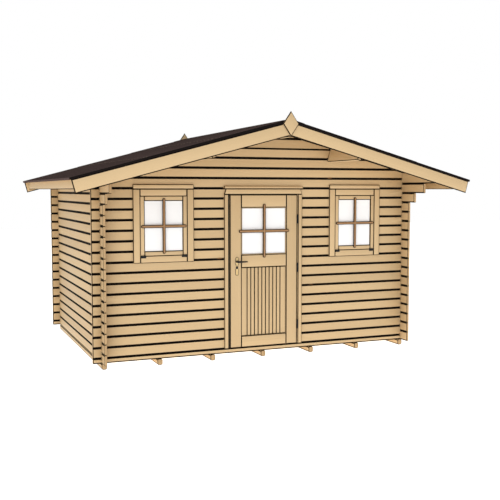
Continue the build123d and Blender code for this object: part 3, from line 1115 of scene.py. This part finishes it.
def rimPlates(plates, settings):
    # A dark rim round each plate, with its brass face a little sunk
    plates.data.materials.append(darkLever)
    useOnly(plates)
    bpy.ops.object.mode_set(mode="EDIT")
    bpy.ops.mesh.select_mode(type="FACE")
    bpy.ops.mesh.select_all(action="DESELECT")
    bpy.ops.object.mode_set(mode="OBJECT")
    for face in plates.data.polygons:
        face.material_index = 1
        face.select = abs(face.normal.y) > 0.99 and face.area > settings["plateFace"]
    bpy.ops.object.mode_set(mode="EDIT")
    bpy.ops.mesh.inset(thickness=settings["plateRim"], depth=-settings["plateSunk"])
    plates.active_material_index = 0
    bpy.ops.object.material_slot_assign()
    bpy.ops.object.mode_set(mode="OBJECT")


softCopy("frame_hinge_halves", blackIron, 0.0008, 2, "house", "black_iron")
softCopy("leaf_hinge_halves", blackIron, 0.0008, 2, "door", "black_iron")
rimPlates(softCopy("door_lock_plates", dullBrass, 0.0008, 2, "door", "lock_brass"), doorSettings)
softCopy("door_lever", darkLever, 0.0022, 3, "lever", "lever_metal")


# Roses round the spindle, key covers under them and the screws of the plates, on both faces
def buildLockTrim(settings):
    low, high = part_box("door_lock_plates")
    leverLow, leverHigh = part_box("door_lever")
    spindleX = (low.x + high.x) / 2
    spindleZ = (leverLow.z + leverHigh.z) / 2
    keyZ = spindleZ - settings["keyDrop"]
    dark = []
    bright = []
    for face, way in ((low.y, -1), (high.y, 1)):
        rose = startDisc(
            (spindleX, face + way * settings["roseHeight"] / 2, spindleZ),
            settings["roseRadius"],
            settings["roseHeight"],
            "y",
            32,
        )
        bevelWhere(rose, lambda middle, direction: abs(middle.y - face) > 0.003, 0.0015, 2)
        dark.append(rose)
        coverWidth, coverHeight, coverDepth = settings["keyCover"]
        cover = startBlock(
            (spindleX - coverWidth / 2, min(face, face + way * coverDepth), keyZ - coverHeight / 2),
            (spindleX + coverWidth / 2, max(face, face + way * coverDepth), keyZ + coverHeight / 2),
        )
        bevelWhere(cover, lambda middle, direction: abs(direction.y) > 0.9, coverWidth / 2 - 0.0005, 6)
        dark.append(cover)
        for screwZ in (high.z - settings["screwInset"], low.z + settings["screwInset"]):
            place = (spindleX, face, screwZ)
            screw = startDisc(place, settings["screwRadius"], settings["screwHeight"], "y", 16)
            bevelWhere(screw, lambda middle, direction: abs(middle.y - face) > 0.001, 0.0007, 2)
            bright.append(screw)
    finishPart(dark, "door_lock_roses", darkLever, "door", "lever_metal")
    finishPart(bright, "door_lock_screws", zincScrew, "door", "lock_brass")


buildLockTrim(doorSettings)
print("garden house: door and its fittings made")


# Stage, light and camera
lightSettings = {
    "worldLight": 0.36,
    "worldSeen": 1.0,
    "floorGlow": 1.10,
    "suns": {
        "keySun": {"energy": 0.30, "angle": 40, "turn": (50, 0, -35)},
        "fillSun": {"energy": 1.15, "angle": 60, "turn": (89, 0, -36)},
    },
}
cameraSettings = {
    "place": (-3.669, -9.598, 1.937),
    "yaw": 22.41,
    "down": 4.30,
    "lens": 57.92,
}


def makeStage(settings):
    deselectAll()
    bpy.ops.mesh.primitive_plane_add(size=60, location=(0, 0, 0))
    floor = bpy.context.view_layer.objects.active
    floor.name = "studioFloor"
    material, tree, shader = newMaterial("paleFloor")
    shader.inputs["Base Color"].default_value = (0.96, 0.96, 0.96, 1)
    shader.inputs["Roughness"].default_value = 0.9
    shader.inputs["Specular IOR Level"].default_value = 0.1
    shader.inputs["Emission Color"].default_value = (1, 1, 1, 1)
    shader.inputs["Emission Strength"].default_value = settings["floorGlow"]
    floor.data.materials.append(material)


def makeLights(settings):
    # The camera sees the room at full white, but it lights the house less than that
    world = bpy.data.worlds.new("studioWorld")
    bpy.context.scene.world = world
    world.use_nodes = True
    tree = world.node_tree
    lit = tree.nodes["Background"]
    lit.inputs["Color"].default_value = (1, 1, 1, 1)
    lit.inputs["Strength"].default_value = settings["worldLight"]
    seen = addNode(tree, "ShaderNodeBackground")
    seen.inputs["Color"].default_value = (1, 1, 1, 1)
    seen.inputs["Strength"].default_value = settings["worldSeen"]
    path = addNode(tree, "ShaderNodeLightPath")
    mix = addNode(tree, "ShaderNodeMixShader")
    tree.links.new(path.outputs["Is Camera Ray"], mix.inputs[0])
    tree.links.new(lit.outputs[0], mix.inputs[1])
    tree.links.new(seen.outputs[0], mix.inputs[2])
    tree.links.new(mix.outputs[0], tree.nodes["World Output"].inputs["Surface"])
    for name, values in settings["suns"].items():
        sun = bpy.data.lights.new(name, "SUN")
        sun.energy = values["energy"]
        sun.angle = math.radians(values["angle"])
        sunObject = bpy.data.objects.new(name, sun)
        sunObject.rotation_euler = [math.radians(turn) for turn in values["turn"]]
        bpy.context.collection.objects.link(sunObject)


def makeCamera(settings):
    lens = bpy.data.cameras.new("photoCamera")
    lens.lens = settings["lens"]
    lens.sensor_width = 36
    camera = bpy.data.objects.new("photoCamera", lens)
    camera.location = settings["place"]
    camera.rotation_euler = (math.radians(90 - settings["down"]), 0, math.radians(-settings["yaw"]))
    bpy.context.collection.objects.link(camera)
    bpy.context.scene.camera = camera
    bpy.context.scene.view_settings.view_transform = "Standard"


makeStage(lightSettings)
makeLights(lightSettings)
makeCamera(cameraSettings)
print("garden house: stage, light and camera set")
